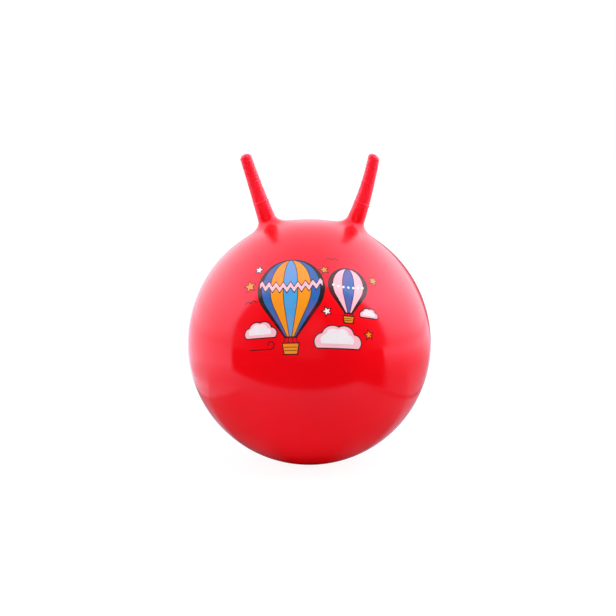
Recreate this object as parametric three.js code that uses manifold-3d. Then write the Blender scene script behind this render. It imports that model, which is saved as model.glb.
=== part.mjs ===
// Hopper ball: an inflated soft-vinyl ball to sit and bounce on, with two hollow grip horns on top
// and a push-in air plug behind them. Millimetres, +Z up, printed side facing -Y.
// The origin is the middle of the flat patch on which the ball rests.
import * as THREE from "three";
import { mergeVertices } from "three/addons/utils/BufferGeometryUtils.js";
import Module from "manifold-3d";

// Ball
const BALL_DIAMETER = 450;
const CROWN_RISE = 3.5; // how much taller the upper half is than half a sphere
const CONTACT_PATCH = 66; // width of the patch that the ball's weight presses flat
const BALL_WALL = 1.0;
const BALL_SIDES = 56;
const BALL_RINGS = 13; // rings of facets in each half

// Horn seats on the ball: the place round the crown in degrees, and how far the soft tip leans back in
const HORN_SEATS = [
  { name: "left_horn", side: -1, angle: 19.0, tipSet: 1.5 },
  { name: "right_horn", side: 1, angle: 20.8, tipSet: 12 },
];

// Neck: the flare that carries each horn. Heights on the horn are measured from the ball's surface.
const NECK_HEIGHT = 16.5;
const NECK_FILLET = 18;
const FLARE_SINK = 0.4; // the flare dips this far under the ball's surface, so the two meet in a clean line
const FLARE_STEPS = 9;

// Horn
const HORN_HEIGHT = 140;
const HORN_ROOT_DIAMETER = 32.6;
const HORN_TIP_DIAMETER = 21.4;
const HORN_TAPER_POWER = 1.5; // above 1 the horn narrows fast at the root and slowly towards the tip
const HORN_WALL = 2.5;
const HORN_TIP_WALL = 4;
const TIP_DOME = 7.5; // height of the rounded end
const HORN_SIDES = 24;
const HORN_STEPS = 12;
const DOME_STEPS = 5;

// Grip rings moulded round the horn
const RING_HEIGHTS = [46.5, 84, 116];
const RING_WIDTH = 5;
const RING_RISE = 0.9;
const RING_MARGIN = 1; // no other row of the horn's side lies this close to a ring
const RING_STEPS = 6;

// Air valve: a soft seat let into the skin behind the horns, and the plug pushed into it
const VALVE_ANGLE = 42; // degrees back from the crown
const SEAT_DIAMETER = 30;
const SEAT_FLANGE_DIAMETER = 42; // the part bonded to the inside of the skin
const SEAT_FLANGE_WALL = 1.6;
const SEAT_TUBE_DIAMETER = 14.4;
const SEAT_TUBE_LENGTH = 21; // from the ball's surface to the tube's inner end
const VALVE_SIDES = 28;

const PLUG_HEAD_DIAMETER = 17;
const PLUG_HEAD_THICKNESS = 2.4;
const PLUG_HEAD_BEVEL = 0.6;
const PLUG_DIMPLE_DIAMETER = 8;
const PLUG_DIMPLE_DEPTH = 0.6;
const PLUG_SHANK_DIAMETER = 7.4;
const PLUG_RIB_DIAMETER = 9;
const PLUG_RIB_COUNT = 3;
const PLUG_RIB_PITCH = 4;
const PLUG_NECK_LENGTH = 3; // plain shank between the head and the first rib
const PLUG_NOSE_LENGTH = 2.4;
const PLUG_NOSE_DIAMETER = 5.6;
const PLUG_CORE_DIAMETER = 3.4; // the hollow that lets the shank squeeze into the bore
const PLUG_CORE_END = 2; // solid plastic left between the hollow and the top of the shank

// Clearances
const SEAM_GAP = 0.3; // between a horn and its neck
const SEAT_GAP = 0.3; // between the valve seat and the skin
const PLUG_GAP = 0.3; // round and under the plug's head
const BORE_GAP = 0.2; // between the plug's ribs and the bore

// Sizes that follow from those above
const ballRadius = BALL_DIAMETER / 2;
const patchRadius = CONTACT_PATCH / 2;
const centreHeight = Math.sqrt(ballRadius ** 2 - patchRadius ** 2);
// How far the middle of a flat facet lies inside the ball.
const facetSag = ballRadius * (1 - Math.cos(Math.PI / BALL_SIDES));
const neckRadius = HORN_ROOT_DIAMETER / 2;
const tipRadius = HORN_TIP_DIAMETER / 2;
const hornBase = NECK_HEIGHT + SEAM_GAP;
const domeBase = HORN_HEIGHT - TIP_DOME;
const boreRadius = PLUG_RIB_DIAMETER / 2 + BORE_GAP;
const headRecess = PLUG_HEAD_THICKNESS + PLUG_GAP;

const wasm = await Module();
wasm.setup();

const point = (x, y) => new THREE.Vector2(x, y);
const radians = THREE.MathUtils.degToRad;

// Evenly spaced values from a to b, both included.
const span = (a, b, steps) => Array.from({ length: steps + 1 }, (_, i) => a + ((b - a) * i) / steps);

// A solid of revolution about +Z. The profile holds radius and height, with the material on its left.
function revolve(profile, sides) {
  return new THREE.LatheGeometry(profile, sides).rotateX(Math.PI / 2);
}

function solidOf(geometry) {
  const bare = geometry.clone();
  bare.deleteAttribute("normal");
  bare.deleteAttribute("uv");
  const merged = mergeVertices(bare);
  const vertProperties = new Float32Array(merged.getAttribute("position").array);
  const triVerts = new Uint32Array(merged.index.array);
  return new wasm.Manifold(new wasm.Mesh({ numProp: 3, vertProperties, triVerts }));
}

function geometryOf(solid) {
  const { vertProperties, triVerts } = solid.getMesh();
  const geometry = new THREE.BufferGeometry();
  geometry.setAttribute("position", new THREE.BufferAttribute(vertProperties, 3));
  geometry.setIndex(new THREE.BufferAttribute(triVerts, 1));
  geometry.computeVertexNormals();
  return geometry;
}

// Ball

// The ball's outline from its foot to its crown: a flat patch, half a sphere and a slightly taller half.
function ballProfile(wall) {
  const radius = ballRadius - wall;
  const crown = radius + CROWN_RISE;
  const footAngle = Math.acos((centreHeight - wall) / radius);
  const lower = span(footAngle, Math.PI / 2, BALL_RINGS).map((a) =>
    point(radius * Math.sin(a), centreHeight - radius * Math.cos(a)),
  );
  const upper = span(Math.PI / 2, 0, BALL_RINGS).map((a) =>
    point(radius * Math.sin(a), centreHeight + crown * Math.cos(a)),
  );
  upper[BALL_RINGS].x = 0;
  return [point(0, wall), ...lower, ...upper.slice(1)];
}

// A place on the upper half: the point, and the angle from vertical of the surface's normal there.
function seatOn(angle) {
  const a = radians(angle);
  const crown = ballRadius + CROWN_RISE;
  return {
    out: ballRadius * Math.sin(a),
    height: centreHeight + crown * Math.cos(a),
    lean: Math.atan((crown / ballRadius) * Math.tan(a)),
  };
}

// A seat's own frame: its +Z leaves the ball along the normal, leaning towards the given side of +X.
function hornFrame({ side, angle }) {
  const { out, height, lean } = seatOn(angle);
  const frame = new THREE.Object3D();
  frame.position.set(side * out, 0, height);
  frame.rotation.y = side * lean;
  frame.updateMatrix();
  return frame;
}

// The valve's frame leans backwards, towards +Y.
function valveFrame() {
  const { out, height, lean } = seatOn(VALVE_ANGLE);
  const frame = new THREE.Group();
  frame.position.set(0, out, height);
  frame.rotation.x = -lean;
  frame.updateMatrix();
  return frame;
}

// A neck from inside the ball up to its top: a fillet that runs from the horn's wall out to the ball.
// With a wall it is the neck's hollow, and otherwise its outside.
function neckProfile(wall, top) {
  const filletOut = neckRadius + NECK_FILLET;
  const filletHeight = Math.sqrt((ballRadius + NECK_FILLET) ** 2 - filletOut ** 2) - ballRadius - FLARE_SINK;
  const radius = NECK_FILLET + wall;
  const arc = span(Math.PI / 2, 0, FLARE_STEPS).map((a) =>
    point(filletOut - radius * Math.cos(a), filletHeight - radius * Math.sin(a)),
  );
  const below = -2 * radius;
  return [point(0, below), point(filletOut, below), ...arc, point(neckRadius - wall, top), point(0, top)];
}

function ballShell() {
  let outside = solidOf(revolve(ballProfile(0), BALL_SIDES));
  let inside = solidOf(revolve(ballProfile(BALL_WALL), BALL_SIDES));
  for (const seat of HORN_SEATS) {
    const { matrix } = hornFrame(seat);
    const neck = revolve(neckProfile(0, NECK_HEIGHT), HORN_SIDES).applyMatrix4(matrix);
    const hollow = revolve(neckProfile(HORN_WALL, HORN_HEIGHT), HORN_SIDES).applyMatrix4(matrix);
    outside = outside.add(solidOf(neck));
    inside = inside.add(solidOf(hollow));
  }
  const holeRadius = SEAT_DIAMETER / 2 + SEAT_GAP;
  const holeLength = 4 * SEAT_FLANGE_DIAMETER;
  const hole = new THREE.CylinderGeometry(holeRadius, holeRadius, holeLength, VALVE_SIDES);
  hole.rotateX(Math.PI / 2).applyMatrix4(valveFrame().matrix);
  return geometryOf(outside.subtract(inside).subtract(solidOf(hole)));
}

// Horns

// The horn's outside radius at a height, without its rings.
function hornRadius(height) {
  const left = Math.max(0, (domeBase - height) / (domeBase - hornBase));
  return tipRadius + (neckRadius - tipRadius) * left ** HORN_TAPER_POWER;
}

// A half-round grip ring on the horn's side.
function gripRing(middle) {
  return span(-1, 1, RING_STEPS).map((t) => {
    const height = middle + (t * RING_WIDTH) / 2;
    return point(hornRadius(height) + RING_RISE * Math.cos((t * Math.PI) / 2), height);
  });
}

function hornProfile() {
  const clear = RING_WIDTH / 2 + RING_MARGIN;
  const onRing = (height) => RING_HEIGHTS.some((middle) => Math.abs(height - middle) <= clear);
  const side = span(hornBase, domeBase, HORN_STEPS)
    .filter((height) => !onRing(height))
    .map((height) => point(hornRadius(height), height));
  const outside = [...side, ...RING_HEIGHTS.flatMap(gripRing)].sort((a, b) => a.y - b.y);
  const dome = span(0, Math.PI / 2, DOME_STEPS)
    .slice(1)
    .map((a) => point(tipRadius * Math.cos(a), domeBase + TIP_DOME * Math.sin(a)));
  dome[DOME_STEPS - 1].x = 0;
  const hollowTop = HORN_HEIGHT - HORN_TIP_WALL;
  const hollow = span(domeBase, hornBase, HORN_STEPS / 2).map((height) =>
    point(hornRadius(height) - HORN_WALL, height),
  );
  return [point(0, hollowTop), ...hollow, ...outside, ...dome];
}

// Bends a straight horn sideways, from nothing at its root to the full set at its tip.
function lean(geometry, set) {
  const position = geometry.getAttribute("position");
  for (let i = 0; i < position.count; i++) {
    const along = Math.max(0, (position.getZ(i) - hornBase) / (HORN_HEIGHT - hornBase));
    position.setX(i, position.getX(i) + set * along ** 2);
  }
  return geometry;
}

function hornMesh(seat) {
  const geometry = lean(revolve(hornProfile(), HORN_SIDES), -seat.side * seat.tipSet);
  const mesh = new THREE.Mesh(geometry, redVinyl);
  mesh.name = seat.name;
  const { position, rotation } = hornFrame(seat);
  mesh.position.copy(position);
  mesh.rotation.copy(rotation);
  return mesh;
}

// Air valve

// Depth below the valve's own origin of a round surface inside the ball, at a radius from the valve's axis.
const dishAt = (radius, depth) => Math.sqrt((ballRadius - depth) ** 2 - radius ** 2) - ballRadius;

function valveSeat() {
  const seatRadius = SEAT_DIAMETER / 2;
  const flangeRadius = SEAT_FLANGE_DIAMETER / 2;
  const tubeRadius = SEAT_TUBE_DIAMETER / 2;
  const recessRadius = PLUG_HEAD_DIAMETER / 2 + PLUG_GAP;
  const under = BALL_WALL + facetSag + SEAT_GAP;
  const back = under + SEAT_FLANGE_WALL;
  return revolve(
    [
      point(boreRadius, -SEAT_TUBE_LENGTH),
      point(tubeRadius, -SEAT_TUBE_LENGTH),
      point(tubeRadius, dishAt(tubeRadius, back)),
      point(flangeRadius, dishAt(flangeRadius, back)),
      point(flangeRadius, dishAt(flangeRadius, under)),
      point(seatRadius, dishAt(seatRadius, under)),
      point(seatRadius, dishAt(seatRadius, 0)),
      point(recessRadius, dishAt(recessRadius, 0)),
      point(recessRadius, -headRecess),
      point(boreRadius, -headRecess),
      point(boreRadius, -SEAT_TUBE_LENGTH),
    ],
    VALVE_SIDES,
  );
}

function valvePlug() {
  const headRadius = PLUG_HEAD_DIAMETER / 2;
  const shankRadius = PLUG_SHANK_DIAMETER / 2;
  const coreRadius = PLUG_CORE_DIAMETER / 2;
  const dimpleRadius = PLUG_DIMPLE_DIAMETER / 2;
  const firstRib = PLUG_HEAD_THICKNESS + PLUG_NECK_LENGTH;
  const lastRib = firstRib + PLUG_RIB_COUNT * PLUG_RIB_PITCH;
  const end = lastRib + PLUG_NOSE_LENGTH;
  const ribs = span(PLUG_RIB_COUNT - 1, 0, PLUG_RIB_COUNT - 1).flatMap((i) => {
    const shoulder = -(firstRib + i * PLUG_RIB_PITCH);
    return [
      point(shankRadius, shoulder - PLUG_RIB_PITCH),
      point(PLUG_RIB_DIAMETER / 2, shoulder - PLUG_RIB_PITCH / 3),
      point(PLUG_RIB_DIAMETER / 2, shoulder),
      point(shankRadius, shoulder),
    ];
  });
  return revolve(
    [
      point(0, -PLUG_HEAD_THICKNESS - PLUG_CORE_END),
      point(coreRadius, -PLUG_HEAD_THICKNESS - PLUG_CORE_END),
      point(coreRadius, -end),
      point(PLUG_NOSE_DIAMETER / 2, -end),
      ...ribs,
      point(shankRadius, -PLUG_HEAD_THICKNESS),
      point(headRadius - PLUG_HEAD_BEVEL, -PLUG_HEAD_THICKNESS),
      point(headRadius, -PLUG_HEAD_THICKNESS + PLUG_HEAD_BEVEL),
      point(headRadius, -PLUG_HEAD_BEVEL),
      point(headRadius - PLUG_HEAD_BEVEL, 0),
      point(dimpleRadius, 0),
      point(dimpleRadius / 2, -PLUG_DIMPLE_DEPTH),
      point(0, -PLUG_DIMPLE_DEPTH),
    ],
    VALVE_SIDES,
  );
}

// Materials

const redVinyl = new THREE.MeshStandardMaterial({ color: 0xe31318, roughness: 0.16, metalness: 0 });
const seatVinyl = new THREE.MeshStandardMaterial({ color: 0xc81418, roughness: 0.4, metalness: 0 });
const plugPlastic = new THREE.MeshStandardMaterial({ color: 0xf2f0ea, roughness: 0.35, metalness: 0 });

// Assembly

function named(name, geometry, material) {
  const mesh = new THREE.Mesh(geometry, material);
  mesh.name = name;
  return mesh;
}

const hopperBall = new THREE.Group();
hopperBall.add(named("ball_shell", ballShell(), redVinyl));
hopperBall.add(...HORN_SEATS.map(hornMesh));

const valve = valveFrame();
valve.add(named("valve_seat", valveSeat(), seatVinyl), named("valve_plug", valvePlug(), plugPlastic));
hopperBall.add(valve);

export default hopperBall;
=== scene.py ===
import math

import bpy
import numpy as np
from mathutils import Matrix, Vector


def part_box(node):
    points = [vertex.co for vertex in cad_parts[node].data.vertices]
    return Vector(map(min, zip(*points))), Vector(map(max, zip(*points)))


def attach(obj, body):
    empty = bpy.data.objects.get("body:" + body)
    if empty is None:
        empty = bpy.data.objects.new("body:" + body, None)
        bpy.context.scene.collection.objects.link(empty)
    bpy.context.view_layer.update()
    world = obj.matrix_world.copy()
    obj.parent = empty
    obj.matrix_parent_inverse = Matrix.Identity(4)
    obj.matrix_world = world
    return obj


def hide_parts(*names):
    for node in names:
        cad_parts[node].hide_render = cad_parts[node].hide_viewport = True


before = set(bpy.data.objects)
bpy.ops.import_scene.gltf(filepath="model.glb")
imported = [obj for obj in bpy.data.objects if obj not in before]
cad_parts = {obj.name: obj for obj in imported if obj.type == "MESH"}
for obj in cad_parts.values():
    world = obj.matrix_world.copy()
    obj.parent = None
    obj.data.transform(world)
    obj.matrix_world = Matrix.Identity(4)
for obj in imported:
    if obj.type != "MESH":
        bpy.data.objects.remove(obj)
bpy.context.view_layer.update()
shellLow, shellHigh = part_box("ball_shell")


# Meshes from closed grids

# Faces of a grid whose rows are closed rings: quads between neighbours, a fan of triangles to a pole
# at each end, or quads back to the first row where the grid closes on itself.
def closedGrid(rows, poles=None):
    count, around, _ = rows.shape
    index = np.arange(count * around).reshape(count, around)
    nextIndex = np.roll(index, -1, axis=1)
    if poles is None:
        below, nextBelow = np.roll(index, -1, axis=0), np.roll(nextIndex, -1, axis=0)
    else:
        below, nextBelow = index[1:], nextIndex[1:]
    size = len(below)
    quads = np.stack([index[:size], below, nextBelow, nextIndex[:size]], -1).reshape(-1, 4)
    points = rows.reshape(-1, 3)
    tris = np.zeros((0, 3), int)
    if poles is not None:
        first, last = np.full(around, len(points)), np.full(around, len(points) + 1)
        tris = np.concatenate([
            np.stack([first, index[0], nextIndex[0]], -1),
            np.stack([last, nextIndex[-1], index[-1]], -1),
        ])
        points = np.concatenate([points, poles])
    return faceOutwards(points, quads, tris)


# Signed volume of the closed grid, summed over its triangles; where it is negative every face is reversed.
def faceOutwards(points, quads, tris):
    corners = np.concatenate([quads[:, [0, 1, 2]], quads[:, [0, 2, 3]], tris])
    a, b, c = (points[corners] - points.mean(0)).transpose(1, 0, 2)
    if np.einsum("ij,ij->", a, np.cross(b, c)) < 0:
        return points, quads[:, ::-1], tris[:, ::-1]
    return points, quads, tris


sharpTurn = math.radians(40)  # edges that turn by more than this stay crisp


# New object in the scene.
def addObject(name, data):
    thing = bpy.data.objects.new(name, data)
    bpy.context.scene.collection.objects.link(thing)
    return thing


# One object from any number of closed grids, each grid's indices counted on from the last one's points.
def makePiece(name, grids, material):
    points, quads, tris, offset = [], [], [], 0
    for gridPoints, gridQuads, gridTris in grids:
        points.append(gridPoints)
        quads.append(gridQuads + offset)
        tris.append(gridTris + offset)
        offset += len(gridPoints)
    mesh = bpy.data.meshes.new(name)
    faces = np.concatenate(quads).tolist() + np.concatenate(tris).tolist()
    mesh.from_pydata(np.concatenate(points).tolist(), [], faces)
    finishMesh(mesh, material)
    return addObject(name, mesh)


# Smooth shading on every face but across sharp edges, and one material.
def finishMesh(mesh, material):
    mesh.polygons.foreach_set("use_smooth", np.ones(len(mesh.polygons), bool))
    mesh.set_sharp_from_angle(angle=sharpTurn)
    mesh.materials.clear()
    mesh.materials.append(material)
    mesh.update()


# Smooth step from 0 to 1 between two limits: three times the square less twice the cube.
def ease(value, low, high):
    t = np.clip((value - low) / (high - low), 0, 1)
    return t * t * (3 - 2 * t)


# Directions at even turns round a circle: one axis times the cosine plus another times the sine.
def spokes(count, first, second):
    turn = np.linspace(0, 2 * np.pi, count, endpoint=False)[:, None]
    return np.cos(turn) * first + np.sin(turn) * second


# Node helpers

# Sets or links each input of a node, by name or number, and gives the node's outputs.
def feed(tree, node, inputs):
    for name, value in inputs.items():
        if isinstance(value, bpy.types.NodeSocket):
            tree.links.new(value, node.inputs[name])
        else:
            node.inputs[name].default_value = value
    return node.outputs


# One operation on numbers or sockets, held between 0 and 1 if asked.
def calc(tree, operation, *values, clamp=False):
    node = tree.nodes.new("ShaderNodeMath")
    node.operation = operation
    node.use_clamp = clamp
    return feed(tree, node, dict(enumerate(values)))[0]


# Product of two numbers or sockets, plus a third.
def times(tree, a, b, plus=0.0):
    return calc(tree, "MULTIPLY_ADD", a, b, plus)


# Outputs of one operation on vectors or sockets.
def calcVector(tree, operation, *values):
    node = tree.nodes.new("ShaderNodeVectorMath")
    node.operation = operation
    return feed(tree, node, dict(enumerate(values)))


# Part of a vector along an axis: the dot product of the two.
def dot(tree, vector, axis):
    return calcVector(tree, "DOT_PRODUCT", vector, axis)["Value"]


# Distance of a point from a place on the right and behind, or from its mirror image on the point's side.
def distanceTo(tree, vector, place):
    folded = calcVector(tree, "ABSOLUTE", vector)["Vector"]
    return calcVector(tree, "DISTANCE", folded, place)["Value"]


# A value mapped from one range to another by a smooth step, and held at both ends.
def ramp(tree, value, fromLow, fromHigh, toLow=0.0, toHigh=1.0):
    node = tree.nodes.new("ShaderNodeMapRange")
    node.interpolation_type = "SMOOTHSTEP"
    limits = {"From Min": fromLow, "From Max": fromHigh, "To Min": toLow, "To Max": toHigh}
    return feed(tree, node, {"Value": value, **limits})["Result"]


# Smooth noise between 0 and 1: so many bumps a metre, with finer octaves added for detail.
def noise(tree, vector, scale, detail):
    node = tree.nodes.new("ShaderNodeTexNoise")
    return feed(tree, node, {"Vector": vector, "Scale": scale, "Detail": detail})[0]


# Colour a at factor 0 and b at 1, in proportion between.
def mixColour(tree, factor, a, b):
    node = tree.nodes.new("ShaderNodeMix")
    node.data_type = "RGBA"
    return feed(tree, node, {0: factor, 6: a, 7: b})[2]


# Materials

casting = {  # bumps a metre and detail of each noise
    "wave": (9.0, 1.0),
    "peel": (1400.0, 1.0),
    "thickness": (6.0, 3.0),
    "thicknessRange": (0.35, 0.65),  # the mask goes from 0 to 1 between these
    "haze": (38.0, 5.0),
    "hazeRange": (0.38, 0.68),
}
vinyl = {
    "red": (0.90, 0.0034, 0.0084, 1.0),
    "deepRed": (0.86, 0.0029, 0.0072, 1.0),  # where the cast skin is a little thicker
    "hornRed": (1.0, 0.0200, 0.0420, 1.0),  # thinner, so paler; the paleness is partly painted light, for the light that shines through the thin horns
    "hornDepth": (0.9, 0.024),  # share and reach of the light that soaks through the hollow horns
    "hornDepthTint": (1.0, 0.3, 0.35),
    "roughness": (0.085, 0.125),
    "hornRoughness": 0.34,
    "hornStart": (0.448, 0.496),  # heights between which the skin turns into the duller grip
    "hornRoot": (0.070, 0.050, 0.433),  # the gloss fades round this point and its mirror images
    "rootReach": (0.095, 0.030),
    "rootRoughness": 0.25,
    "wave": 0.00011,  # metres, slow unevenness of the inflated skin
    "peel": 0.0000012,  # metres, fine orange peel of the casting
    "seamWidth": 0.0007,  # parting line of the mould, in the plane of the horns
    "seamHeight": 0.00007,
    "sheen": (1.0, 0.76, 1.0, 1.0),  # tint of what the skin mirrors
    "refraction": 1.5,
}


# Cast vinyl: height is slow waves plus fine peel; thickness and haze are masks from two more noises.
def makeVinylGroup():
    group = bpy.data.node_groups.new("castVinyl", "ShaderNodeTree")
    sockets = (("INPUT", ("Vector", "Wave", "Peel")), ("OUTPUT", ("Height", "Thickness", "Haze")))
    for direction, names in sockets:
        for name in names:
            kind = "NodeSocketVector" if name == "Vector" else "NodeSocketFloat"
            group.interface.new_socket(name, in_out=direction, socket_type=kind)
    source = group.nodes.new("NodeGroupInput").outputs
    target = group.nodes.new("NodeGroupOutput")
    noises = ("wave", "peel", "thickness", "haze")
    wave, peel, thickness, haze = (noise(group, source["Vector"], *casting[name]) for name in noises)
    feed(group, target, {
        "Height": times(group, peel, source["Peel"], times(group, wave, source["Wave"])),
        "Thickness": ramp(group, thickness, *casting["thicknessRange"]),
        "Haze": ramp(group, haze, *casting["hazeRange"]),
    })
    return group


vinylGroup = makeVinylGroup()


# A new material with its principled shader and object coordinates.
def startMaterial(name):
    material = bpy.data.materials.new(name)
    material.use_nodes = True
    tree = material.node_tree
    shader = tree.nodes["Principled BSDF"]
    coordinates = tree.nodes.new("ShaderNodeTexCoord").outputs["Object"]
    return material, tree, shader, coordinates


# Cast vinyl in a material, with its waves and its peel as heights in metres.
def placeVinyl(tree, coordinates, wave, peel):
    node = tree.nodes.new("ShaderNodeGroup")
    node.node_tree = vinylGroup
    return feed(tree, node, {"Vector": coordinates, "Wave": wave, "Peel": peel})


# Shading normal from a height in metres.
def bumpFrom(tree, height):
    bump = tree.nodes.new("ShaderNodeBump")
    return feed(tree, bump, {"Distance": 1.0, "Height": height})["Normal"]


# Red vinyl: two reds by thickness and roughness by haze. Height turns the skin into the duller grip, which
# is paler partly as painted light for the light that shines through the thin horns; the roughness also rises
# near a horn's root, and the parting line is a ridge over the plane of the horns.
def makeRedVinyl():
    material, tree, shader, coordinates = startMaterial("redVinyl")
    cast = placeVinyl(tree, coordinates, vinyl["wave"], vinyl["peel"])
    grip = ramp(tree, dot(tree, coordinates, (0, 0, 1)), *vinyl["hornStart"])
    skinRed = mixColour(tree, cast["Thickness"], vinyl["red"], vinyl["deepRed"])
    gloss = ramp(tree, cast["Haze"], 0.0, 1.0, *vinyl["roughness"])
    root = distanceTo(tree, coordinates, vinyl["hornRoot"])
    gloss = ramp(tree, root, *vinyl["rootReach"], gloss, vinyl["rootRoughness"])
    soak, reach = vinyl["hornDepth"]
    offPlane = calc(tree, "ABSOLUTE", dot(tree, coordinates, (0, 1, 0)))
    seam = ramp(tree, offPlane, 0.0, vinyl["seamWidth"], vinyl["seamHeight"], 0.0)
    feed(tree, shader, {
        "Base Color": mixColour(tree, grip, skinRed, vinyl["hornRed"]),
        "Roughness": ramp(tree, grip, 0.0, 1.0, gloss, vinyl["hornRoughness"]),
        "Subsurface Weight": times(tree, grip, soak),
        "Subsurface Scale": reach,
        "Subsurface Radius": vinyl["hornDepthTint"],
        "Normal": bumpFrom(tree, calc(tree, "ADD", cast["Height"], seam)),
        "IOR": vinyl["refraction"],
        "Specular Tint": vinyl["sheen"],
    })
    return material


seatVinyl = {
    "colours": ((0.55, 0.004, 0.007, 1.0), (0.66, 0.006, 0.010, 1.0)),
    "roughness": (0.28, 0.42),
    "peel": 0.00001,
    "soak": {},
}
plugPlastic = {
    "colours": ((0.74, 0.72, 0.67, 1.0), (0.65, 0.62, 0.56, 1.0)),
    "roughness": (0.32, 0.46),
    "peel": 0.000006,
    "soak": {"Subsurface Weight": 0.15, "Subsurface Scale": 0.002, "Subsurface Radius": (1.0, 1.0, 0.8)},
}


# Moulded plastic: colour and roughness both go from one value to another with the haze.
def makeMoulded(name, look):
    material, tree, shader, coordinates = startMaterial(name)
    cast = placeVinyl(tree, coordinates, 0.0, look["peel"])
    feed(tree, shader, {
        "Base Color": mixColour(tree, cast["Haze"], *look["colours"]),
        "Roughness": ramp(tree, cast["Haze"], 0.0, 1.0, *look["roughness"]),
        "Normal": bumpFrom(tree, cast["Height"]),
        **look["soak"],
    })
    return material


inkColours = {
    "black": (0.019, 0.012, 0.011),
    "orange": (0.86, 0.30, 0.014),
    "blue": (0.028, 0.13, 0.40),
    "sky": (0.060, 0.34, 0.66),
    "pink": (0.93, 0.53, 0.58),
    "white": (0.88, 0.86, 0.85),
}
ink = {
    "roughness": (0.11, 0.17),
    "thin": 0.10,  # how much of the red shows where the ink is thinnest
}


# Screen ink on the vinyl: the skin's own waves, and a slight show of red where the ink lies thin.
def makeInk(name, colour):
    material, tree, shader, coordinates = startMaterial("ink_" + name)
    cast = placeVinyl(tree, coordinates, vinyl["wave"], vinyl["peel"])
    thin = times(tree, cast["Haze"], ink["thin"])
    feed(tree, shader, {
        "Base Color": mixColour(tree, thin, (*colour, 1.0), vinyl["red"]),
        "Roughness": ramp(tree, cast["Haze"], 0.0, 1.0, *ink["roughness"]),
        "Normal": bumpFrom(tree, cast["Height"]),
    })
    return material


redVinyl = makeRedVinyl()
inks = {name: makeInk(name, colour) for name, colour in inkColours.items()}
print("materials:", len(bpy.data.materials))


# Ball and horns in one skin

ball = {
    "radius": (shellHigh.x - shellLow.x) / 2,
    "crownRise": 0.0048,  # how much taller the upper half is than half a sphere
    "patchWidth": 0.066,  # pressed flat by the ball's weight
    "patchEdge": 0.0003,  # softness of the patch's rim
    "wall": 0.001,
    "around": 192,  # points round every ring
    "rings": 112,  # rings from each flare to the middle
    "insideAround": 96,
    "insideRings": 48,
}
ball["centre"] = math.sqrt(ball["radius"] ** 2 - (ball["patchWidth"] / 2) ** 2)

horn = {
    "height": 0.1385,  # above the ball's surface
    "rootHeight": 0.0168,
    "rootRadius": 0.0163,
    "tipRadius": 0.0107,
    "taper": 1.5,  # above 1 it narrows fast at the root and slowly towards the tip
    "dome": 0.0075,  # height of the rounded end
    "gripRings": ((0.0465, 0.0008), (0.084, 0.0005), (0.116, 0.0004)),  # height and rise of each
    "ringWidth": 0.0046,
    "flareTop": 0.0172,
    "neckReach": 0.017,  # the tight curve at the neck
    "flareOut": 0.043,  # reach of the slow curve away from the other horn
    "flareIn": 0.056,  # reach of the slow curve towards the other horn
    "flareRise": 0.0083,  # height of the slow curve
    "flareRows": 32,
    "flareBlend": 0.6,  # from this turn down, of a quarter turn, the flare runs into the ball
    "rimOpening": 0.16,  # angle at the ball's centre of the circle from which its rings grow
    "domeRows": 12,
    "domeTop": 84,  # degrees up the dome to its last row
    "sideRows": 40,
    "ringRows": 13,
    "ringSpread": 0.55,  # half the rows' reach over a ring, in widths of it
}
hornSeats = {"left_horn": (-1, 19.0, 0.0015), "right_horn": (1, 20.8, 0.012)}  # side, angle, set of the tip


# Point of the ball in each direction from its centre: a sphere below, an ellipsoid above that is taller by
# the crown's rise, and a soft maximum with the floor where the weight presses it flat.
def ballSurface(directions, lift=0.0):
    wide = ball["radius"]
    tall = wide + np.where(directions[..., 2] > 0, ball["crownRise"], 0.0)
    across = (directions[..., 0] ** 2 + directions[..., 1] ** 2) / wide**2
    reach = 1 / np.sqrt(across + directions[..., 2] ** 2 / tall**2) + lift
    points = directions * reach[..., None]
    low = -min(lift, 0.0)
    z = points[..., 2] + ball["centre"] - low
    points[..., 2] = low + (z + np.sqrt(z**2 + 4 * ball["patchEdge"] ** 2)) / 2
    return points


# Vectors over their lengths.
def unit(vectors):
    return vectors / np.linalg.norm(vectors, axis=-1, keepdims=True)


# Place on the upper half at an angle from the crown towards a side: the point, the normal, and the way down
# the slope. The normal leans by the angle whose tangent is the ellipsoid's ratio times the angle's own.
def seatOn(angle, side):
    a = math.radians(angle)
    tall = ball["radius"] + ball["crownRise"]
    lean = math.atan(tall / ball["radius"] * math.tan(a))
    up = np.array([0, 0, 1.0])
    point = ball["radius"] * math.sin(a) * side + (ball["centre"] + tall * math.cos(a)) * up
    return point, math.sin(lean) * side + math.cos(lean) * up, math.cos(lean) * side - math.sin(lean) * up


# Radius of the horn at a height: a power curve from root to tip, raised by a cosine bump at each ring.
def hornRadius(heights):
    domeBase = horn["height"] - horn["dome"]
    left = np.clip((domeBase - heights) / (domeBase - horn["rootHeight"]), 0, 2)
    radius = horn["tipRadius"] + (horn["rootRadius"] - horn["tipRadius"]) * left ** horn["taper"]
    for middle, rise in horn["gripRings"]:
        t = np.clip((heights - middle) / horn["ringWidth"], -0.5, 0.5)
        radius = radius + rise * np.cos(np.pi * t) ** 2
    return radius


# Rows of the horn as radius and height from the tip down: an elliptic dome, then the tapered side with
# rows packed closely at the rings.
def hornRows():
    domeBase = horn["height"] - horn["dome"]
    a = np.radians(np.linspace(horn["domeTop"], 0, horn["domeRows"], endpoint=False))
    dome = np.stack([horn["tipRadius"] * np.cos(a), domeBase + horn["dome"] * np.sin(a)], -1)
    heights = [np.linspace(domeBase, horn["flareTop"], horn["sideRows"])]
    spread = np.linspace(-horn["ringSpread"], horn["ringSpread"], horn["ringRows"])
    for middle, _ in horn["gripRings"]:
        heights.append(spread * horn["ringWidth"] + middle)
    heights = np.unique(np.round(np.concatenate(heights), 5))[::-1]
    return np.concatenate([dome, np.stack([hornRadius(heights), heights], -1)])


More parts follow.
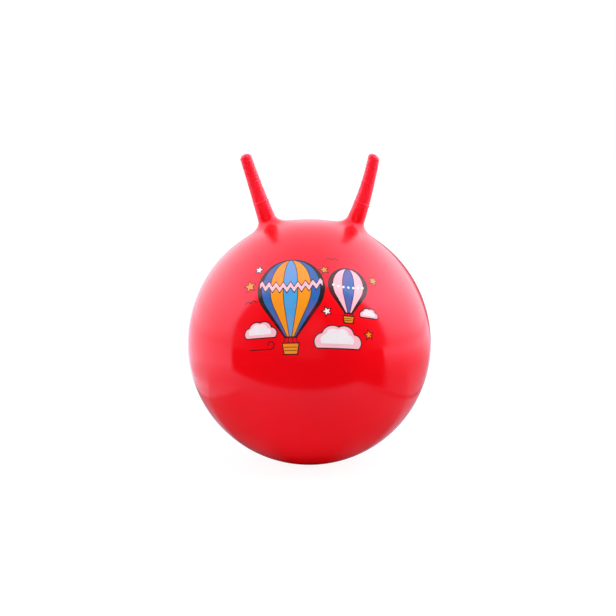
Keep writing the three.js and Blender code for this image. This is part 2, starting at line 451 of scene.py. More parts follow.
# One half of the skin, as rings from the horn's tip to the plane between the horns.
def halfSkin(side, angle, tipSet):
    a = math.radians(angle)
    root, axis, out = seatOn(angle, np.array([side, 0, 0]))
    back = np.array([0, 1, 0])
    spoke = spokes(ball["around"], out, back)

    # horn: circles about its axis, which bends back by the square of the height
    radius, height = hornRows().T
    up = np.clip((height - horn["rootHeight"]) / (horn["height"] - horn["rootHeight"]), 0, 1)
    middle = root + height[:, None] * axis - (tipSet * up**2)[:, None] * out
    hornGrid = middle[:, None] + radius[:, None, None] * spoke

    # flare: a tight quarter ellipse at the neck on top of a slow one down to the ball, which reaches
    # farther towards the other horn, by the cube of half one less the cosine of the turn
    rootRadius = hornRadius(np.array([horn["flareTop"]]))[0]
    inwards = (1 - spokes(ball["around"], 1.0, 0.0)[:, 0]) / 2
    reach = horn["flareOut"] + (horn["flareIn"] - horn["flareOut"]) * inwards**3
    b = np.linspace(0, np.pi / 2, horn["flareRows"] + 1)[1:, None]
    away = reach * (1 - np.cos(b))
    flareRadius = rootRadius + away
    tight = 1 - np.clip(away / horn["neckReach"], 0, 1)
    tightRise = horn["flareTop"] + rootRadius**2 / (2 * ball["radius"]) - horn["flareRise"]
    flareHeight = tightRise * (1 - np.sqrt(1 - tight**2)) + horn["flareRise"] * (1 - np.sin(b))
    flareHeight -= flareRadius**2 / (2 * ball["radius"])
    flareGrid = root + flareHeight[..., None] * axis + flareRadius[..., None] * spoke
    centre = np.array([0, 0, ball["centre"]])
    onBall = ballSurface(unit(flareGrid - centre))
    flareGrid += ease(b, horn["flareBlend"], np.pi / 2)[..., None] * (onBall - flareGrid)

    # ball: nested circles that grow from the flare's rim to the great circle between the horns
    t = np.linspace(0, 1, ball["rings"] + 1)[1:, None, None]
    def circle(share):
        towards = a + (np.pi / 2 - a) * share
        opening = horn["rimOpening"] + (np.pi / 2 - horn["rimOpening"]) * share
        pole = np.concatenate([side * np.sin(towards), 0 * towards, np.cos(towards)], -1)
        outwards = np.concatenate([side * np.cos(towards), 0 * towards, -np.sin(towards)], -1)
        return np.cos(opening) * pole + np.sin(opening) * spokes(ball["around"], outwards, back)
    rim = unit(flareGrid[-1] - centre)
    ballGrid = ballSurface(unit(circle(t) + (1 - t) * (rim - circle(np.zeros((1, 1, 1))))))

    tip = root + horn["height"] * axis - tipSet * out
    return np.concatenate([hornGrid, flareGrid, ballGrid]), tip


# Inside wall of the ball: directions by latitude and longitude, one wall's thickness under the surface.
def insideWall():
    down = np.linspace(0, np.pi, ball["insideRings"] + 2)[1:-1, None]
    turn = np.linspace(0, 2 * np.pi, ball["insideAround"], endpoint=False)[None]
    ring = (np.sin(down) * np.cos(turn), np.sin(down) * np.sin(turn), np.cos(down) + 0 * turn)
    poles = np.array([[0, 0, 1.0], [0, 0, -1.0]])
    rows, ends = (ballSurface(d, -ball["wall"]) for d in (np.stack(ring, -1), poles))
    points, quads, tris = closedGrid(rows, ends)
    return points, quads[:, ::-1], tris[:, ::-1]  # the wall faces the air inside


leftHalf, leftTip = halfSkin(*hornSeats["left_horn"])
rightHalf, rightTip = halfSkin(*hornSeats["right_horn"])
skinRows = np.concatenate([leftHalf, rightHalf[-2::-1]])
skin = makePiece("skin", [closedGrid(skinRows, np.array([leftTip, rightTip])), insideWall()], redVinyl)
print("skin:", len(skin.data.polygons), "faces")


# Air valve

valve = {
    "angle": 42.0,  # degrees back from the crown
    "holeRadius": 0.0153,
    "holeDepth": 0.03,
    "around": 96,
}
seat = {
    "radius": 0.0150,
    "flangeRadius": 0.0210,
    "flangeTop": 0.0017,
    "flangeBack": 0.0033,
    "tubeRadius": 0.0072,
    "tubeLength": 0.0210,
    "boreRadius": 0.0047,
    "recessRadius": 0.0088,
    "recessDepth": 0.0027,
    "edge": 0.0005,  # rounding of the moulded edges
}
plug = {
    "headRadius": 0.0085,
    "headThickness": 0.0024,
    "shankRadius": 0.0037,
    "ribRadius": 0.0045,
    "ribs": 3,
    "ribPitch": 0.0040,
    "neckLength": 0.0030,
    "noseLength": 0.0024,
    "noseRadius": 0.0028,
    "coreRadius": 0.0017,
    "coreEnd": 0.0020,
    "dimpleRadius": 0.0042,
    "dimpleDepth": 0.0007,
    "dimpleFloor": 0.6,  # radius of its flat floor, of the dimple's own
    "edge": 0.0004,
}


# Profile with rounded corners: each corner becomes a quadratic curve between points a radius before and
# after it, or at most a set part of the edge.
def rounded(corners, radius, closed=False, steps=5, most=0.45):
    points = np.array(corners)
    before, after = np.roll(points, 1, axis=0) - points, np.roll(points, -1, axis=0) - points
    def cut(edge):
        length = np.linalg.norm(edge, axis=1, keepdims=True)
        return points + edge * np.minimum(radius / np.maximum(length, 1e-9), most)
    t = np.linspace(0, 1, steps)[None, :, None]
    start, end = cut(before)[:, None], cut(after)[:, None]
    curve = (1 - t) ** 2 * start + 2 * t * (1 - t) * points[:, None] + t**2 * end
    if closed:
        return curve.reshape(-1, 2)
    return np.concatenate([points[:1], curve[1:-1].reshape(-1, 2), points[-1:]])


# Profile of radius and height turned about the valve's axis, which leaves the ball along its normal.
def turnOnValve(profile):
    origin, axis, back = seatOn(valve["angle"], np.array([0, 1, 0]))
    spoke = spokes(valve["around"], np.array([1, 0, 0]), back)
    rows = origin + profile[:, 1, None, None] * axis + profile[:, 0, None, None] * spoke
    if profile[0, 0] > 0:
        return closedGrid(rows)
    return closedGrid(rows[1:-1], rows[[0, -1], 0])


# Height of the ball's surface, or of a depth inside it, over the valve's origin: that of a circle at a
# radius from the axis, less the ball's radius.
def dish(radius, depth=0.0):
    return math.sqrt((ball["radius"] - depth) ** 2 - radius**2) - ball["radius"]


# Hole for the valve: the skin less a cylinder on the valve's axis.
def cutValveHole():
    r, deep = valve["holeRadius"], valve["holeDepth"]
    profile = np.array([[0, deep], [r, deep], [r, -deep], [0, -deep]])
    cutter = makePiece("holeCutter", [turnOnValve(profile)], redVinyl)
    cut = skin.modifiers.new("valveHole", "BOOLEAN")
    cut.operation = "DIFFERENCE"
    cut.solver = "EXACT"
    cut.object = cutter
    whole = skin.data
    skin.data = bpy.data.meshes.new_from_object(skin.evaluated_get(bpy.context.evaluated_depsgraph_get()))
    skin.modifiers.clear()
    finishMesh(skin.data, redVinyl)
    skin.data.name = "skin"
    bpy.data.objects.remove(cutter)
    bpy.data.meshes.remove(whole)


# Seat: a tube with a flange under the skin, a collar through it, and a bore that widens for the head.
def makeSeat():
    s = seat
    corners = [
        (s["boreRadius"], -s["tubeLength"]),
        (s["tubeRadius"], -s["tubeLength"]),
        (s["tubeRadius"], dish(s["tubeRadius"], s["flangeBack"])),
        (s["flangeRadius"], dish(s["flangeRadius"], s["flangeBack"])),
        (s["flangeRadius"], dish(s["flangeRadius"], s["flangeTop"])),
        (s["radius"], dish(s["radius"], s["flangeTop"])),
        (s["radius"], dish(s["radius"])),
        (s["recessRadius"], dish(s["recessRadius"])),
        (s["recessRadius"], -s["recessDepth"]),
        (s["boreRadius"], -s["recessDepth"]),
    ]
    grid = turnOnValve(rounded(corners, s["edge"], closed=True))
    return makePiece("valve_seat_moulded", [grid], makeMoulded("seatVinyl", seatVinyl))


# Plug: a head with a dimple, a plain neck, ribs that slope from the shank out to a shoulder a third of the
# pitch long, a nose and a hollow core.
def makePlug():
    p = plug
    firstRib = p["headThickness"] + p["neckLength"]
    end = firstRib + p["ribs"] * p["ribPitch"] + p["noseLength"]
    corners = [
        (0, -p["headThickness"] - p["coreEnd"]),
        (p["coreRadius"], -p["headThickness"] - p["coreEnd"]),
        (p["coreRadius"], -end),
        (p["noseRadius"], -end),
    ]
    for i in reversed(range(p["ribs"])):
        shoulder = -(firstRib + i * p["ribPitch"])
        corners += [
            (p["shankRadius"], shoulder - p["ribPitch"]),
            (p["ribRadius"], shoulder - p["ribPitch"] / 3),
            (p["ribRadius"], shoulder),
            (p["shankRadius"], shoulder),
        ]
    corners += [
        (p["shankRadius"], -p["headThickness"]),
        (p["headRadius"], -p["headThickness"]),
        (p["headRadius"], 0),
        (p["dimpleRadius"], 0),
        (p["dimpleRadius"] * p["dimpleFloor"], -p["dimpleDepth"]),
        (0, -p["dimpleDepth"]),
    ]
    grid = turnOnValve(rounded(corners, p["edge"]))
    return makePiece("valve_plug_turned", [grid], makeMoulded("plugPlastic", plugPlastic))


cutValveHole()
seatPiece = makeSeat()
plugPiece = makePlug()
print("valve: hole cut, seat and plug turned; skin now", len(skin.data.polygons), "faces")


# Front print

printing = {
    "elevation": 24.5,  # of the middle, degrees above the ball's waist
    "lift": 0.00010,  # top of the first ink above the skin
    "layer": 0.00006,  # each further ink lies this much higher
    "sunk": 0.00030,  # the rim reaches this far into the skin
    "line": 0.0021,  # width of the dark outlines
    "thinner": {"wind": 0.8, "panel": 0.55, "rope": 0.6, "weave": 0.5},  # finer lines, of that width
    "sag": 0.16,  # rise of a hanging line at one radius from the middle, in radii
}
inkGrids = {name: [] for name in inkColours}


# Flat artwork wrapped onto the ball: distance from the print's middle becomes arc length.
def onFront(flat, lift):
    e = math.radians(printing["elevation"])
    towards = np.array([0, -math.cos(e), math.sin(e)])
    upwards = np.array([0, math.sin(e), math.cos(e)])
    distance = np.linalg.norm(flat, axis=-1, keepdims=True)
    angle = distance / ball["radius"]
    along = (flat[..., :1] * np.array([1.0, 0, 0]) + flat[..., 1:] * upwards) / np.maximum(distance, 1e-9)
    return ballSurface(np.cos(angle) * towards + np.sin(angle) * along, lift)


# Height of an ink's top above the skin: the first one's, and a layer more for each ink under it.
def heightOf(layer):
    return printing["lift"] + layer * printing["layer"]


# Patch of ink inside an outline given as a radius for each turn about its middle: rings that grow from the
# middle to the outline on top, then the outline again under the skin.
def fan(colour, layer, middle, radius, rings=7):
    outline = radius[:, None] * spokes(len(radius), *np.eye(2))
    share = np.linspace(0, 1, rings + 1)[1:, None, None]
    middle = np.array(middle)
    top = onFront(middle + share * outline, heightOf(layer))
    under = onFront((middle + outline)[None], -printing["sunk"])
    poles = [onFront(middle, lift) for lift in (heightOf(layer), -printing["sunk"])]
    inkGrids[colour].append(closedGrid(np.concatenate([top, under]), np.array(poles)))


# Strip of ink between two curves: each row runs from one to the other on top and back under the skin.
def strip(colour, layer, left, right, across=7):
    share = np.linspace(0, 1, across)[None, :, None]
    flat = left[:, None] + share * (right - left)[:, None]
    top = onFront(flat, heightOf(layer))
    under = onFront(flat[:, ::-1], -printing["sunk"])
    rows = np.concatenate([top, under], axis=1)
    inkGrids[colour].append(closedGrid(rows, rows[[0, -1]].mean(1)))


# Half width and height of a balloon from its crown to its mouth: an arc of a circle, then its tangent.
def balloonSide(radius, mouth, topAngle=2, bendAngle=125, steps=26, runSteps=10):
    a = np.radians(np.linspace(topAngle, bendAngle, steps))
    arc = np.stack([radius * np.sin(a), radius * np.cos(a)], -1)
    run = (arc[-1, 0] - mouth) / -math.cos(a[-1])
    t = np.linspace(0, run, runSteps)[1:, None]
    return np.concatenate([arc, arc[-1] + t * np.array([math.cos(a[-1]), -math.sin(a[-1])])])


# Line of ink of even width along a path: a strip between the path moved by half the width to each side.
def inkLine(colour, layer, path, kind):
    width = printing["line"] * printing["thinner"][kind]
    direction = unit(np.gradient(path, axis=0))
    side = np.stack([-direction[:, 1], direction[:, 0]], -1) * width / 2
    strip(colour, layer, path - side, path + side, across=3)


# Saw-tooth band across a balloon: its middle line hangs by the square of the distance from the centre, and
# its two edges lie a half height above and below.
def zigzag(colour, layer, middle, radius, half, reach=0.96, teeth=4.5, tooth=0.36, drop=0.06, steps=97):
    x = np.linspace(-reach, reach, steps)
    saw = np.abs((x * teeth) % 1 - 0.5) * tooth
    hang = np.stack([x, printing["sag"] * x**2 - drop + saw], -1) * radius
    strip(colour, layer, middle + hang + [0, half], middle + hang - [0, half], across=3)


# Row of round dots on the same hanging line.
def dots(colour, layer, middle, radius, reach=0.78, count=7, drop=0.12, size=0.066, steps=36):
    for x in np.linspace(-reach, reach, count):
        place = middle + np.array([x, printing["sag"] * x**2 - drop]) * radius
        fan(colour, layer, place, np.full(steps, radius * size), rings=3)


basketSize = {
    "drop": 0.22,  # from the mouth down to its rim, in radii of the balloon
    "height": 0.30,
    "width": 1.35,  # half width of its rim, in half widths of the mouth
    "foot": 0.8,  # width of its foot, of the rim's
    "ropes": (-1, -0.35, 0.35, 1),  # from the middle, of the half width
    "ropeTop": 0.92,
    "ropeFoot": 0.95,
    "weaves": (0.34, 0.67),  # down from the rim, of the height
    "weaveReach": 0.93,
}


# Basket on four ropes under a balloon's mouth: a tapered box with two woven lines.
def basket(middle, low, radius, mouth):
    b, line = basketSize, printing["line"]
    top, wide, deep = low - radius * b["drop"], mouth * b["width"], radius * b["height"]
    foot = wide * b["foot"]
    for share in b["ropes"]:
        start, end = [share * mouth * b["ropeTop"], low - line], [share * wide * b["ropeFoot"], top]
        inkLine("black", 0, middle + np.linspace(start, end, 6), "rope")
    side = np.linspace([wide, top], [foot, top - deep], 8)
    rim = np.linspace([wide + line, top + line], [foot + line, top - deep - line], 8)
    strip("black", 0, middle + rim * [-1, 1], middle + rim)
    strip("orange", 1, middle + side * [-1, 1], middle + side)
    for share in b["weaves"]:
        reach = wide * b["weaveReach"] * (1 - (1 - b["foot"]) * share)
        weave = np.linspace([-reach, top - deep * share], [reach, top - deep * share], 5)
        inkLine("black", 2, middle + weave, "weave")


# Hot-air balloon: a dark outline, panels of cloth whose edges follow the sine of even turns, and a basket.
def balloon(middle, radius, mouth, colours):
    line = printing["line"]
    side = balloonSide(radius, mouth)
    outer = balloonSide(radius + line, mouth + line)
    outer = np.concatenate([outer, outer[-1:] - [[0, line]]])
    strip("black", 0, middle + outer * [-1, 1], middle + outer)
    edges = np.sin(np.linspace(-np.pi / 2, np.pi / 2, len(colours) + 1))
    for i, colour in enumerate(colours):
        strip(colour, 1, middle + side * [edges[i], 1], middle + side * [edges[i + 1], 1])
    for edge in edges[1:-1]:
        inkLine("black", 2, middle + side * [edge, 1], "panel")
    basket(middle, side[-1, 1], radius, mouth)


# Curl of wind: a straight run that ends in a spiral of shrinking radius.
def curl(start, length, radius, halfTurns=1.15, shrunk=0.4, runSteps=16, steps=40):
    run = np.linspace([0, 0], [length, 0], runSteps)
    a = np.linspace(-np.pi / 2, np.pi * halfTurns, steps)[1:]
    shrink = radius * np.linspace(1, shrunk, len(a))
    spiral = np.stack([length + shrink * np.cos(a), radius + shrink * np.sin(a)], -1)
    inkLine("black", 0, np.array(start) + np.concatenate([run, spiral]), "wind")


# Gliding bird: two arches of a sine side by side.
def bird(middle, span, arch=0.42, steps=31):
    x = np.linspace(-1, 1, steps)
    wings = np.stack([x, arch * np.sin(np.pi * np.abs(x))], -1)
    inkLine("black", 0, np.array(middle) + span * wings, "wind")


# Outline of overlapping round puffs with a flat base: the farthest crossing of each ray with any puff,
# cut where the ray meets the base.
def puffs(circles, base, grow=0.0, steps=160):
    ray = spokes(steps, *np.eye(2))
    along = ray @ circles[:, :2].T
    inside = along**2 - (circles[:, :2] ** 2).sum(1) + (circles[:, 2] + grow) ** 2
    reach = np.where(inside > 0, along + np.sqrt(np.maximum(inside, 0)), 0).max(1)
    toBase = np.where(ray[:, 1] < -1e-6, (base + grow) / np.maximum(-ray[:, 1], 1e-6), 1.0)
    return np.minimum(reach, toBase)


cloudShape = {  # in sizes of the cloud
    "puffs": (  # across, up and radius of each
        (-0.55, -0.05, 0.30),
        (-0.20, 0.12, 0.40),
        (0.22, 0.16, 0.36),
        (0.58, -0.06, 0.28),
        (0.0, 0.0, 0.45),
    ),
    "base": 0.26,
    "white": (0.72, 0.62),  # size of the white puffs and of their base, of the pink ones'
    "whiteShift": (-0.03, 0.05),
}


# Cloud: pink puffs on a dark outline that is one line wider, with smaller white puffs on top.
def cloud(middle, size):
    circles, base = np.array(cloudShape["puffs"]) * size, cloudShape["base"] * size
    fan("black", 0, middle, puffs(circles, base, printing["line"]))
    fan("pink", 1, middle, puffs(circles, base))
    smaller, lower = cloudShape["white"]
    shifted = np.array(middle) + np.array(cloudShape["whiteShift"]) * size
    fan("white", 2, shifted, puffs(circles * smaller, base * lower))


# Five-pointed star: between a point and a notch the outline is the straight line through both.
def star(middle, size, tilt, colour, notch=0.45, rimLines=2.0, steps=200):
    turn = np.linspace(0, 2 * np.pi, steps, endpoint=False)
    fifth = 2 * np.pi / 5
    t = np.abs((turn - math.radians(90 + tilt) + fifth / 2) % fifth - fifth / 2)
    radius = notch * math.sin(fifth / 2) / (notch * np.sin(fifth / 2 - t) + np.sin(t))
    fan("black", 0, middle, radius * (size + rimLines * printing["line"]))
    fan(colour, 1, middle, radius * size)


# artwork: places are metres to the right of the print's middle and above it
big = {"middle": np.array([-0.032, 0.036]), "radius": 0.057}
small = {"middle": np.array([0.068, 0.044]), "radius": 0.034}
balloon(**big, mouth=0.010, colours=("black", "blue", "orange", "sky", "orange", "blue", "black"))
zigzag("black", 3, **big, half=0.0070)
zigzag("pink", 4, **big, half=0.0045)
balloon(**small, mouth=0.0065, colours=("black", "pink", "blue", "pink", "black"))
dots("white", 3, **small)
for place, size in (((-0.086, -0.040), 0.034), ((0.050, -0.056), 0.048), ((0.106, -0.006), 0.020)):
    cloud(place, size)
curl((-0.108, -0.070), length=0.040, radius=0.008)
for place in ((-0.104, 0.014), (0.040, 0.094)):
    bird(place, span=0.011)
for place, size, tilt, colour in (
    ((-0.106, 0.048), 0.0100, 8, "orange"),
    ((-0.090, 0.080), 0.0070, -14, "white"),
    ((0.026, 0.072), 0.0070, 15, "orange"),
    ((0.116, 0.062), 0.0080, -10, "orange"),
    ((0.030, -0.006), 0.0070, 22, "white"),
    ((0.106, -0.042), 0.0070, 12, "orange"),
):
    star(place, size, tilt, colour)

printPieces = [makePiece("print_" + name, grids, inks[name]) for name, grids in inkGrids.items()]
print("print:", sum(len(p.data.polygons) for p in printPieces), "faces in", len(printPieces), "inks")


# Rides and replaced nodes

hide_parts("ball_shell", "left_horn", "right_horn")
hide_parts("valve_seat")
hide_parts("valve_plug")
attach(skin, "ball")
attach(seatPiece, "ball")
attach(plugPiece, "plug")
for piece in printPieces:
    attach(piece, "ball")
print("pieces ride on their bodies")


# Camera

shot = {
    "elevation": 9.0,
    "distance": 2.5,
    "picture": 616,  # pixels across the square picture
    "ballPixel": (309.25, 343.0),
    "ballPixelRadius": 121.56,
    "sensor": 36.0,
}


# Camera: in pixels, the focal length is the ball's radius in the picture times the length of a tangent over
# the real radius, the tangent being the root of squared distance less squared radius.
def makeCamera():
    e = math.radians(shot["elevation"])
    tangent = math.sqrt(shot["distance"] ** 2 - ball["radius"] ** 2)
    focal = shot["ballPixelRadius"] * tangent / ball["radius"]
    data = bpy.data.cameras.new("camera")
    data.sensor_width = shot["sensor"]
    data.lens = shot["sensor"] * focal / shot["picture"]
    camera = addObject("camera", data)
    ahead, above = Vector((0, math.cos(e), -math.sin(e))), Vector((0, math.sin(e), math.cos(e)))
    camera.location = Vector((0, 0, ball["centre"])) - ahead * shot["distance"]
    # the ball lies right of and below the middle of the picture, so the camera aims left of and above it
    right, down = (p - shot["picture"] / 2 for p in shot["ballPixel"])
    aim = ahead * focal + above * down - Vector((right, 0, 0))
    camera.rotation_euler = aim.to_track_quat("-Z", "Y").to_euler()
    bpy.context.scene.camera = camera


# Studio

studio = {
    "tilt": 9.0,  # the dark room lies about this direction above level, towards -Y
    "tint": (1.02, 0.94, 1.07, 1.0),
    "white": 1.45,
    "rightBox": 1.85,  # how much brighter the soft box on the right is
    "leftBox": 0.85,
    "boxSpread": (0.1, 0.9),  # each box brightens between these parts of the direction to its side
    "boxHeight": 0.5,
    "low": 0.75,  # share of the light that is left near the floor
    "lowHeight": 0.16,
    "room": (0.20, 0.015),  # the unlit room in front, at its rim and in its middle
    "roomRim": (0.245, 0.42, 0.20),  # its rim, with what the height's square and fourth power add
    "roomDraw": (0.20, -0.06),  # what height adds on the right and on the left
    "roomMiddle": 0.45,  # how far inside the rim it is darkest
    "edge": 0.08,  # softness of the room's edge
    "behind": 1.0,  # the sweep straight behind the ball
    "sweep": (-0.90, -0.97),
    "backLight": 0.30,  # share of the light from behind that falls on the ball; the vinyl mirrors all of it
    "back": (0.0, -0.5),
    "sideLight": 1.55,  # the same from both sides
    "aside": (0.35, 0.9),
    "gap": 0.22,  # dim oval gap beside the sweep, on the right
    "gapBack": (-0.5, -0.7),
    "gapMiddle": (0.220, 0.108),  # to the right and upwards, as parts of a unit direction
    "gapHalf": (0.255, 0.175),
    "gapTurn": 27.0,  # degrees
    "gapEdge": (1.35, 0.45),
}


# Length of two offsets, each stretched: the root of the sum of the scaled squares.
def reachFrom(tree, x, y, scaleX=1.0, scaleY=1.0):
    wide, deep = times(tree, x, scaleX), times(tree, y, scaleY)
    return calc(tree, "SQRT", times(tree, wide, wide, times(tree, deep, deep)))


# Oval gap: 1 in its middle and 0 outside, by the length of the offsets along and across, each over its half
# size.
def gapShare(tree, right, upwards):
    turn = math.radians(studio["gapTurn"])
    c, s = math.cos(turn), math.sin(turn)
    (x, y), (long, short) = studio["gapMiddle"], studio["gapHalf"]
    along = times(tree, upwards, s / long, -(x * c + y * s) / long)
    along = times(tree, right, c / long, along)
    across = times(tree, upwards, c / short, (x * s - y * c) / short)
    across = times(tree, right, -s / short, across)
    return ramp(tree, reachFrom(tree, along, across), *studio["gapEdge"])


# White studio by direction: soft boxes that brighten to the upper left and right, a dim oval gap behind, and
# an unlit room towards -Y whose rim draws in with the square and fourth power of height and with height
# times the part to the side. For the camera it is plain white. Light that isn't mirrored is weaker from
# behind and stronger from the sides.
def makeWorld():
    world = bpy.data.worlds.new("studio")
    bpy.context.scene.world = world
    world.use_nodes = True
    tree = world.node_tree
    shader = tree.nodes["Background"]
    direction = tree.nodes.new("ShaderNodeTexCoord").outputs["Generated"]
    e = math.radians(studio["tilt"])
    towards = dot(tree, direction, (0, -math.cos(e), math.sin(e)))
    upwards = calc(tree, "MAXIMUM", dot(tree, direction, (0, math.sin(e), math.cos(e))), 0.0)
    right = dot(tree, direction, (1, 0, 0))
    square = times(tree, upwards, upwards)
    rim, second, fourth = studio["roomRim"]
    rim = times(tree, square, times(tree, square, fourth, second), rim)
    drawRight, drawLeft = studio["roomDraw"]
    draw = times(tree, calc(tree, "MAXIMUM", right, 0.0), drawRight)
    draw = times(tree, calc(tree, "MINIMUM", right, 0.0), drawLeft, draw)
    inside = calc(tree, "SUBTRACT", towards, times(tree, upwards, draw, rim))
    room = ramp(tree, inside, -studio["edge"], studio["edge"])
    lifted = calc(tree, "DIVIDE", upwards, studio["boxHeight"], clamp=True)
    light = studio["white"]
    for side, name in ((1, "rightBox"), (-1, "leftBox")):
        box = ramp(tree, right, *(side * part for part in studio["boxSpread"]))
        light = times(tree, times(tree, box, lifted), studio[name], light)
    light = times(tree, light, ramp(tree, upwards, 0.0, studio["lowHeight"], studio["low"], 1.0))
    light = ramp(tree, ramp(tree, towards, *studio["sweep"]), 0.0, 1.0, light, studio["behind"])
    gap = times(tree, gapShare(tree, right, upwards), ramp(tree, towards, *studio["gapBack"]))
    light = ramp(tree, gap, 0.0, 1.0, light, studio["gap"])
    dim = ramp(tree, inside, studio["edge"], studio["roomMiddle"], *studio["room"])
    light = ramp(tree, room, 0.0, 1.0, light, dim)
    path = tree.nodes.new("ShaderNodeLightPath").outputs
    seen, inVinyl = path["Is Camera Ray"], path["Is Glossy Ray"]
    aside = ramp(tree, calc(tree, "ABSOLUTE", right), *studio["aside"], 1.0, studio["sideLight"])
    lighting = times(tree, light, ramp(tree, towards, *studio["back"], aside, studio["backLight"]))
    light = ramp(tree, inVinyl, 0.0, 1.0, lighting, light)
    colour = mixColour(tree, seen, studio["tint"], (1.0, 1.0, 1.0, 1.0))
    feed(tree, shader, {"Color": colour, "Strength": ramp(tree, seen, 0.0, 1.0, light, 1.0)})


floor = {  # places are metres from the ball's foot
    "size": 30.0,
    "turn": (-0.1, 0.1),  # what differs from left to right changes over between these
    "glow": 0.90,  # white that the camera sees whatever the light
    "white": 0.16,  # white that carries the shadow
    "under": 0.36,  # painted light: a glow that the sheet gives off round the ball's foot, only to diffuse rays, which lights the ball's lower side
    "underReach": (0.32, 0.06),
    "underScale": (0.6, 1.5),  # it reaches farther to the sides than to the front
    "bounce": (0.60, 0.90),  # white that lights the ball from below, in front and behind
    "bounceTurn": (-0.1, 0.25),
    # Painted reflection: from here to the gap, the brightness that the sheet gives off to glossy rays only,
    # darkest at the ball's foot as the ball's painted shadow
    "mirrored": 1.2,  # painted light: brightness that the sheet gives off in the vinyl, per metre from the ball's foot, so that it darkens towards the foot as the ball's painted shadow
    "foot": 0.095,
    "beside": 0.12,  # at least this much in the vinyl on both sides of the foot
    "besideFrom": (0.03, 0.12),
    "behind": (0.52, 0.45),  # brightness in the vinyl behind the ball, on the left and on the right
    "behindFar": 0.84,  # the same past the left step
    "behindSeam": (-0.42, -0.49),
    "behindStart": ((-0.02, 0.12), (-0.08, 0.09)),  # where it sets in, on the left and on the right
    "mirroredMost": 1.2,
    "seam": 0.383,  # place of a painted step in the sheet's reflection on each side
    "seamEdge": 0.015,  # softness of the left one
    "seamShade": 0.68,  # painted shade: share that is left on the near side of the left step
    "seamNear": (-0.15, -0.33),
    "seamLight": 1.5,  # painted light: how much brighter its far side is
    "seamFar": (-0.40, -0.58),
    "seamFront": (-0.30, -0.17),  # the left step fades out between these, towards the front
    "seamLine": 0.5,  # painted dark line: share that is left on the right
    "seamWidth": 0.032,
    "tint": (1.0, 1.0, 1.2, 1.0),  # of the sheet as the vinyl mirrors it
    "rightDim": 0.43,  # painted shade: share that is left of it on the right
    "rightFrom": (0.2, 0.7),
    "frontEdge": -0.470,  # the white sheet ends here in front of the ball
    "frontCurve": (0.25, 0.10),  # and curves back to the left and to the right
    "sideStart": (-0.135, -0.064),  # until it meets lines that run forwards, left and right
    "sideSlope": (-0.249, -0.348),
    "corner": (0.385, 0.425),  # on the right it is cut back to that line between these
    "edge": 0.05,
    "gap": 0.2,  # painted shade: share that is left where the sheet fades into the gap behind on the right
    "gapStart": (0.3, 0.9),
    "gapFrom": (0.20, 0.31),  # the gap's place is reckoned from here, right of the ball's middle and up
}


# White sheet: 1 on it and 0 past its rim, which is a shallow parabola in front and a straight line on each
# side. On the right the front is cut back to that line at a corner.
def sheetShare(tree, x, y):
    names = ("frontCurve", "sideSlope", "sideStart")
    curve, slope, start = (ramp(tree, x, *floor["turn"], *floor[name]) for name in names)
    front = times(tree, times(tree, x, x), curve, floor["frontEdge"])
    sides = times(tree, calc(tree, "ABSOLUTE", x), slope, start)
    rim = ramp(tree, x, *floor["corner"], calc(tree, "MINIMUM", front, sides), sides)
    return ramp(tree, calc(tree, "SUBTRACT", y, rim), -floor["edge"], floor["edge"])


# Painted steps in the sheet's reflection: on the left a step from painted shade to painted light that fades
# towards the front, on the right a painted dark line.
def paintedStepShare(tree, x, y):
    seam, soft = floor["seam"], floor["seamEdge"]
    near = ramp(tree, x, *floor["seamNear"], 1.0, floor["seamShade"])
    far = ramp(tree, x, *floor["seamFar"], floor["seamLight"], 1.0)
    left = ramp(tree, x, soft - seam, -soft - seam, near, far)
    left = ramp(tree, y, *floor["seamFront"], 1.0, left)
    off = calc(tree, "ABSOLUTE", calc(tree, "SUBTRACT", x, seam))
    right = ramp(tree, off, 0.0, floor["seamWidth"], floor["seamLine"], 1.0)
    return times(tree, left, right)


# Painted shade in the sheet's reflection: what the gap leaves of the sheet, by the unit direction to each
# point from a place beside the ball.
def gapOnFloor(tree, x, y):
    e = math.radians(studio["tilt"])
    fromX, fromZ = floor["gapFrom"]
    aside = calc(tree, "SUBTRACT", x, fromX)
    length = times(tree, y, y, fromZ**2)
    length = calc(tree, "SQRT", times(tree, aside, aside, length))
    upwards = times(tree, y, math.sin(e), -fromZ * math.cos(e))
    gap = gapShare(tree, calc(tree, "DIVIDE", aside, length), calc(tree, "DIVIDE", upwards, length))
    gap = times(tree, gap, ramp(tree, y, *floor["gapStart"]))
    return ramp(tree, gap, 0.0, 1.0, 1.0, floor["gap"])


# Painted reflection of the sheet in the vinyl: brightness in proportion to the distance from the ball's
# foot, which paints the ball's shadow round the foot, with a least value beside the foot and behind it,
# times the painted steps up to a most, times what the gap leaves.
def paintedSheetReflection(tree, x, y):
    away = calc(tree, "SUBTRACT", reachFrom(tree, x, y), floor["foot"])
    bright = times(tree, away, floor["mirrored"])
    bright = times(tree, bright, ramp(tree, x, *floor["rightFrom"], 1.0, floor["rightDim"]))
    beside = ramp(tree, calc(tree, "ABSOLUTE", x), *floor["besideFrom"], 0.0, floor["beside"])
    behind = ramp(tree, x, *floor["turn"], *floor["behind"])
    behind = ramp(tree, x, *floor["behindSeam"], behind, floor["behindFar"])
    start, full = (ramp(tree, x, *floor["turn"], *ends) for ends in zip(*floor["behindStart"]))
    least = calc(tree, "MAXIMUM", beside, ramp(tree, y, start, full, 0.0, behind))
    bright = times(tree, calc(tree, "MAXIMUM", bright, least), paintedStepShare(tree, x, y))
    bright = calc(tree, "MINIMUM", bright, floor["mirroredMost"])
    return times(tree, bright, gapOnFloor(tree, x, y))
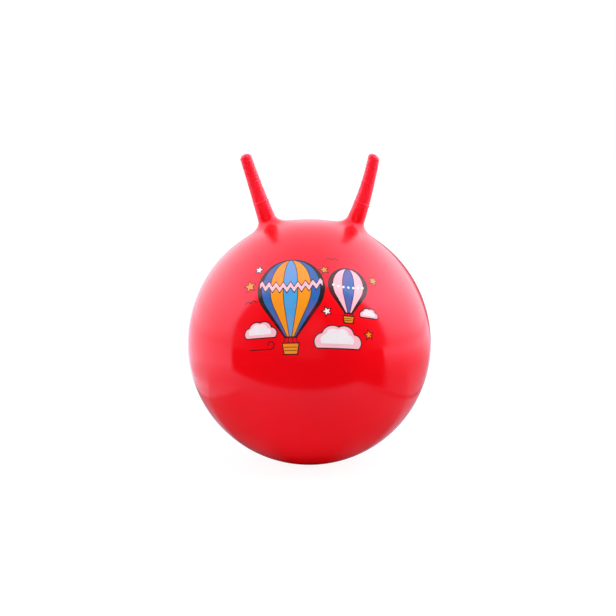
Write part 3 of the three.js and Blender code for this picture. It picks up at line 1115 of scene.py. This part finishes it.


# Floor: for the camera a white sheet that keeps the shadow, in the vinyl the painted reflection above, given
# off as painted light, and for other rays a white bounce with a painted glow round the ball's foot.
def makeFloor():
    half = floor["size"] / 2
    mesh = bpy.data.meshes.new("floor")
    corners = [(-half, -half, 0), (half, -half, 0), (half, half, 0), (-half, half, 0)]
    mesh.from_pydata(corners, [], [(0, 1, 2, 3)])
    piece = addObject("floor", mesh)
    material = bpy.data.materials.new("whiteSheet")
    material.use_nodes = True
    tree = material.node_tree
    tree.nodes.remove(tree.nodes["Principled BSDF"])
    place = tree.nodes.new("ShaderNodeTexCoord").outputs["Object"]
    x, y = dot(tree, place, (1, 0, 0)), dot(tree, place, (0, 1, 0))
    sheet = sheetShare(tree, x, y)
    path = tree.nodes.new("ShaderNodeLightPath").outputs
    seen, inVinyl = path["Is Camera Ray"], path["Is Glossy Ray"]
    other = times(tree, sheet, ramp(tree, y, *floor["bounceTurn"], *floor["bounce"]))
    lit = ramp(tree, seen, 0.0, 1.0, other, floor["white"])
    diffuse = tree.nodes.new("ShaderNodeBsdfDiffuse")
    diffuse = feed(tree, diffuse, {"Color": ramp(tree, inVinyl, 0.0, 1.0, lit, 0.0)})[0]
    # painted light: the sheet gives off this reflection only to glossy rays
    mirrored = times(tree, times(tree, paintedSheetReflection(tree, x, y), sheet), inVinyl)
    # painted light: the glow round the ball's foot, which only diffuse rays see
    foot = reachFrom(tree, x, y, *floor["underScale"])
    under = ramp(tree, foot, *floor["underReach"], 0.0, floor["under"])
    under = times(tree, under, path["Is Diffuse Ray"])
    light = times(tree, seen, floor["glow"], calc(tree, "ADD", mirrored, under))
    colour = mixColour(tree, inVinyl, (1.0, 1.0, 1.0, 1.0), floor["tint"])
    glow = feed(tree, tree.nodes.new("ShaderNodeEmission"), {"Strength": light, "Color": colour})[0]
    both = feed(tree, tree.nodes.new("ShaderNodeAddShader"), {0: diffuse, 1: glow})[0]
    feed(tree, tree.nodes["Material Output"], {"Surface": both})
    mesh.materials.append(material)


fill = {"watts": 45.0, "size": 1.8, "place": (-0.25, -2.7, 0.8)}


# Soft lamp in front, aimed at the ball's middle.
def makeFill():
    data = bpy.data.lights.new("fill", "AREA")
    data.energy = fill["watts"]
    data.size = fill["size"]
    lamp = addObject("fill", data)
    lamp.location = fill["place"]
    aim = Vector((0, 0, ball["centre"])) - lamp.location
    lamp.rotation_euler = aim.to_track_quat("-Z", "Y").to_euler()
    lamp.visible_glossy = False  # it lights the front without a mirror image in the vinyl


makeCamera()
makeWorld()
makeFloor()
makeFill()
bpy.context.scene.view_settings.view_transform = "Standard"
print("camera, studio and floor ready")
